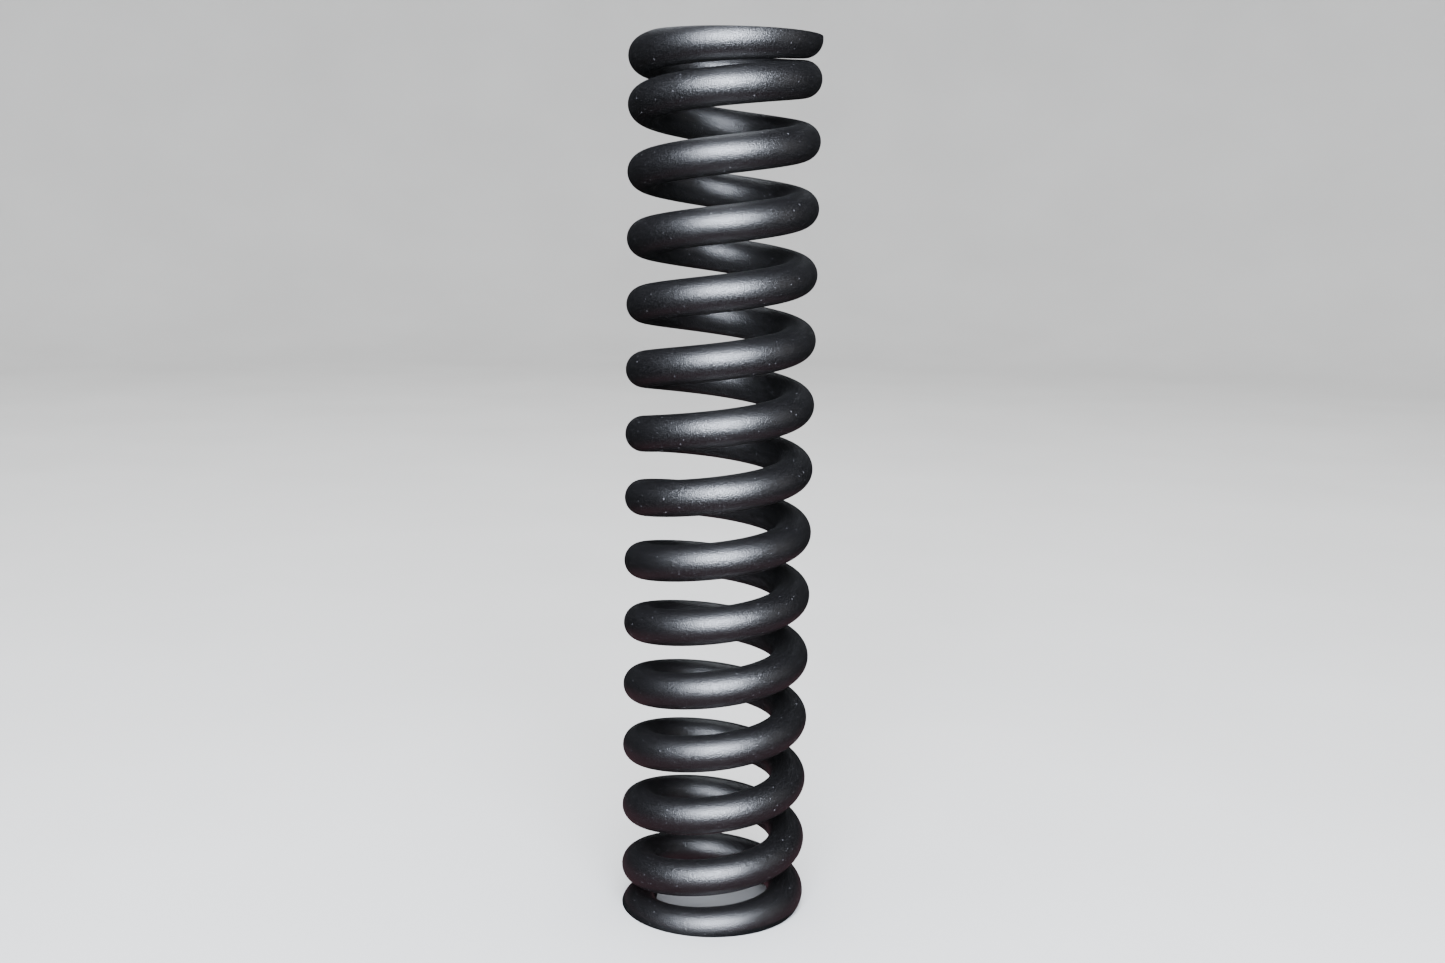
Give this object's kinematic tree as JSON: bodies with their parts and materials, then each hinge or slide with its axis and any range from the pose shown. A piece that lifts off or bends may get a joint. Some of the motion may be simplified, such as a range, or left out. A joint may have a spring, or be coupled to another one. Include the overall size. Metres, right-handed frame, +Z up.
{
  "type": "helical compression spring",
  "caption": "Upright helical compression spring of round wire, right-hand wound, closed and ground flat at both ends, satin black coat.",
  "frame": {"origin": "middle of the coil in plan, on the ground bottom face", "axes": "+Z up along the spring's axis; -Y is the side the picture sees; +X is to its right"},
  "size_m": [0.0618, 0.0618, 0.2893],
  "materials": {
    "black_coat": "satin"
  },
  "bodies": {
    "bottom_end": {"bottom_tip": "black_coat", "bottom_end_coil_front": "black_coat", "bottom_end_coil_back": "black_coat"},
    "coil_01_front": {"active_coil_01_front": "black_coat"},
    "coil_01_back": {"active_coil_01_back": "black_coat"},
    "coil_02_front": {"active_coil_02_front": "black_coat"},
    "coil_02_back": {"active_coil_02_back": "black_coat"},
    "coil_03_front": {"active_coil_03_front": "black_coat"},
    "coil_03_back": {"active_coil_03_back": "black_coat"},
    "coil_04_front": {"active_coil_04_front": "black_coat"},
    "coil_04_back": {"active_coil_04_back": "black_coat"},
    "coil_05_front": {"active_coil_05_front": "black_coat"},
    "coil_05_back": {"active_coil_05_back": "black_coat"},
    "coil_06_front": {"active_coil_06_front": "black_coat"},
    "coil_06_back": {"active_coil_06_back": "black_coat"},
    "coil_07_front": {"active_coil_07_front": "black_coat"},
    "coil_07_back": {"active_coil_07_back": "black_coat"},
    "coil_08_front": {"active_coil_08_front": "black_coat"},
    "coil_08_back": {"active_coil_08_back": "black_coat"},
    "coil_09_front": {"active_coil_09_front": "black_coat"},
    "coil_09_back": {"active_coil_09_back": "black_coat"},
    "coil_10_front": {"active_coil_10_front": "black_coat"},
    "coil_10_back": {"active_coil_10_back": "black_coat"},
    "coil_11_front": {"active_coil_11_front": "black_coat"},
    "coil_11_back": {"active_coil_11_back": "black_coat"},
    "coil_12_front": {"active_coil_12_front": "black_coat"},
    "coil_12_back": {"active_coil_12_back": "black_coat"},
    "coil_13_front": {"active_coil_13_front": "black_coat"},
    "top_end": {"top_end_coil_back": "black_coat", "top_end_coil_front": "black_coat", "top_tip": "black_coat"}
  },
  "joints": [
    {"name": "compression", "type": "hinge", "parent": "bottom_end", "child": "coil_01_front", "pos_m": [-0.02495, 0, 0.0133], "axis": [0, 1, 0], "range_deg": [0, 4.6], "stiffness_Nm_per_rad": 2050},
    {"name": "wire_twist_01", "type": "hinge", "parent": "coil_01_front", "child": "coil_01_back", "pos_m": [0.02495, 0, 0.02383], "axis": [0, -1, 0], "range_deg": [0, 9.2], "stiffness_Nm_per_rad": 2050},
    {"name": "wire_twist_02", "type": "hinge", "parent": "coil_01_back", "child": "coil_02_front", "pos_m": [-0.02495, 0, 0.03441], "axis": [0, 1, 0], "range_deg": [0, 9.2], "stiffness_Nm_per_rad": 2050},
    {"name": "wire_twist_03", "type": "hinge", "parent": "coil_02_front", "child": "coil_02_back", "pos_m": [0.02495, 0, 0.04499], "axis": [0, -1, 0], "range_deg": [0, 9.2], "stiffness_Nm_per_rad": 2050},
    {"name": "wire_twist_04", "type": "hinge", "parent": "coil_02_back", "child": "coil_03_front", "pos_m": [-0.02495, 0, 0.05557], "axis": [0, 1, 0], "range_deg": [0, 9.2], "stiffness_Nm_per_rad": 2050},
    {"name": "wire_twist_05", "type": "hinge", "parent": "coil_03_front", "child": "coil_03_back", "pos_m": [0.02495, 0, 0.06615], "axis": [0, -1, 0], "range_deg": [0, 9.2], "stiffness_Nm_per_rad": 2050},
    {"name": "wire_twist_06", "type": "hinge", "parent": "coil_03_back", "child": "coil_04_front", "pos_m": [-0.02495, 0, 0.07673], "axis": [0, 1, 0], "range_deg": [0, 9.2], "stiffness_Nm_per_rad": 2050},
    {"name": "wire_twist_07", "type": "hinge", "parent": "coil_04_front", "child": "coil_04_back", "pos_m": [0.02495, 0, 0.08731], "axis": [0, -1, 0], "range_deg": [0, 9.2], "stiffness_Nm_per_rad": 2050},
    {"name": "wire_twist_08", "type": "hinge", "parent": "coil_04_back", "child": "coil_05_front", "pos_m": [-0.02495, 0, 0.09789], "axis": [0, 1, 0], "range_deg": [0, 9.2], "stiffness_Nm_per_rad": 2050},
    {"name": "wire_twist_09", "type": "hinge", "parent": "coil_05_front", "child": "coil_05_back", "pos_m": [0.02495, 0, 0.10847], "axis": [0, -1, 0], "range_deg": [0, 9.2], "stiffness_Nm_per_rad": 2050},
    {"name": "wire_twist_10", "type": "hinge", "parent": "coil_05_back", "child": "coil_06_front", "pos_m": [-0.02495, 0, 0.11905], "axis": [0, 1, 0], "range_deg": [0, 9.2], "stiffness_Nm_per_rad": 2050},
    {"name": "wire_twist_11", "type": "hinge", "parent": "coil_06_front", "child": "coil_06_back", "pos_m": [0.02495, 0, 0.12963], "axis": [0, -1, 0], "range_deg": [0, 9.2], "stiffness_Nm_per_rad": 2050},
    {"name": "wire_twist_12", "type": "hinge", "parent": "coil_06_back", "child": "coil_07_front", "pos_m": [-0.02495, 0, 0.14021], "axis": [0, 1, 0], "range_deg": [0, 9.2], "stiffness_Nm_per_rad": 2050},
    {"name": "wire_twist_13", "type": "hinge", "parent": "coil_07_front", "child": "coil_07_back", "pos_m": [0.02495, 0, 0.15079], "axis": [0, -1, 0], "range_deg": [0, 9.2], "stiffness_Nm_per_rad": 2050},
    {"name": "wire_twist_14", "type": "hinge", "parent": "coil_07_back", "child": "coil_08_front", "pos_m": [-0.02495, 0, 0.16137], "axis": [0, 1, 0], "range_deg": [0, 9.2], "stiffness_Nm_per_rad": 2050},
    {"name": "wire_twist_15", "type": "hinge", "parent": "coil_08_front", "child": "coil_08_back", "pos_m": [0.02495, 0, 0.17195], "axis": [0, -1, 0], "range_deg": [0, 9.2], "stiffness_Nm_per_rad": 2050},
    {"name": "wire_twist_16", "type": "hinge", "parent": "coil_08_back", "child": "coil_09_front", "pos_m": [-0.02495, 0, 0.18253], "axis": [0, 1, 0], "range_deg": [0, 9.2], "stiffness_Nm_per_rad": 2050},
    {"name": "wire_twist_17", "type": "hinge", "parent": "coil_09_front", "child": "coil_09_back", "pos_m": [0.02495, 0, 0.19311], "axis": [0, -1, 0], "range_deg": [0, 9.2], "stiffness_Nm_per_rad": 2050},
    {"name": "wire_twist_18", "type": "hinge", "parent": "coil_09_back", "child": "coil_10_front", "pos_m": [-0.02495, 0, 0.20369], "axis": [0, 1, 0], "range_deg": [0, 9.2], "stiffness_Nm_per_rad": 2050},
    {"name": "wire_twist_19", "type": "hinge", "parent": "coil_10_front", "child": "coil_10_back", "pos_m": [0.02495, 0, 0.21427], "axis": [0, -1, 0], "range_deg": [0, 9.2], "stiffness_Nm_per_rad": 2050},
    {"name": "wire_twist_20", "type": "hinge", "parent": "coil_10_back", "child": "coil_11_front", "pos_m": [-0.02495, 0, 0.22485], "axis": [0, 1, 0], "range_deg": [0, 9.2], "stiffness_Nm_per_rad": 2050},
    {"name": "wire_twist_21", "type": "hinge", "parent": "coil_11_front", "child": "coil_11_back", "pos_m": [0.02495, 0, 0.23543], "axis": [0, -1, 0], "range_deg": [0, 9.2], "stiffness_Nm_per_rad": 2050},
    {"name": "wire_twist_22", "type": "hinge", "parent": "coil_11_back", "child": "coil_12_front", "pos_m": [-0.02495, 0, 0.24601], "axis": [0, 1, 0], "range_deg": [0, 9.2], "stiffness_Nm_per_rad": 2050},
    {"name": "wire_twist_23", "type": "hinge", "parent": "coil_12_front", "child": "coil_12_back", "pos_m": [0.02495, 0, 0.25659], "axis": [0, -1, 0], "range_deg": [0, 9.2], "stiffness_Nm_per_rad": 2050},
    {"name": "wire_twist_24", "type": "hinge", "parent": "coil_12_back", "child": "coil_13_front", "pos_m": [-0.02495, 0, 0.26714], "axis": [0, 1, 0], "range_deg": [0, 5.9], "stiffness_Nm_per_rad": 2050},
    {"name": "wire_twist_25", "type": "hinge", "parent": "coil_13_front", "child": "top_end", "pos_m": [0.02495, 0, 0.27604], "axis": [0, -1, 0], "range_deg": [0, 1.3], "stiffness_Nm_per_rad": 2050}
  ],
  "couplings": [
    {"joint": "wire_twist_01", "follows": "compression", "ratio": 2},
    {"joint": "wire_twist_02", "follows": "compression", "ratio": 2},
    {"joint": "wire_twist_03", "follows": "compression", "ratio": 2},
    {"joint": "wire_twist_04", "follows": "compression", "ratio": 2},
    {"joint": "wire_twist_05", "follows": "compression", "ratio": 2},
    {"joint": "wire_twist_06", "follows": "compression", "ratio": 2},
    {"joint": "wire_twist_07", "follows": "compression", "ratio": 2},
    {"joint": "wire_twist_08", "follows": "compression", "ratio": 2},
    {"joint": "wire_twist_09", "follows": "compression", "ratio": 2},
    {"joint": "wire_twist_10", "follows": "compression", "ratio": 2},
    {"joint": "wire_twist_11", "follows": "compression", "ratio": 2},
    {"joint": "wire_twist_12", "follows": "compression", "ratio": 2},
    {"joint": "wire_twist_13", "follows": "compression", "ratio": 2},
    {"joint": "wire_twist_14", "follows": "compression", "ratio": 2},
    {"joint": "wire_twist_15", "follows": "compression", "ratio": 2},
    {"joint": "wire_twist_16", "follows": "compression", "ratio": 2},
    {"joint": "wire_twist_17", "follows": "compression", "ratio": 2},
    {"joint": "wire_twist_18", "follows": "compression", "ratio": 2},
    {"joint": "wire_twist_19", "follows": "compression", "ratio": 2},
    {"joint": "wire_twist_20", "follows": "compression", "ratio": 2},
    {"joint": "wire_twist_21", "follows": "compression", "ratio": 2},
    {"joint": "wire_twist_22", "follows": "compression", "ratio": 2},
    {"joint": "wire_twist_23", "follows": "compression", "ratio": 2},
    {"joint": "wire_twist_24", "follows": "compression", "ratio": 1.2826},
    {"joint": "wire_twist_25", "follows": "compression", "ratio": 0.28261}
  ]
}
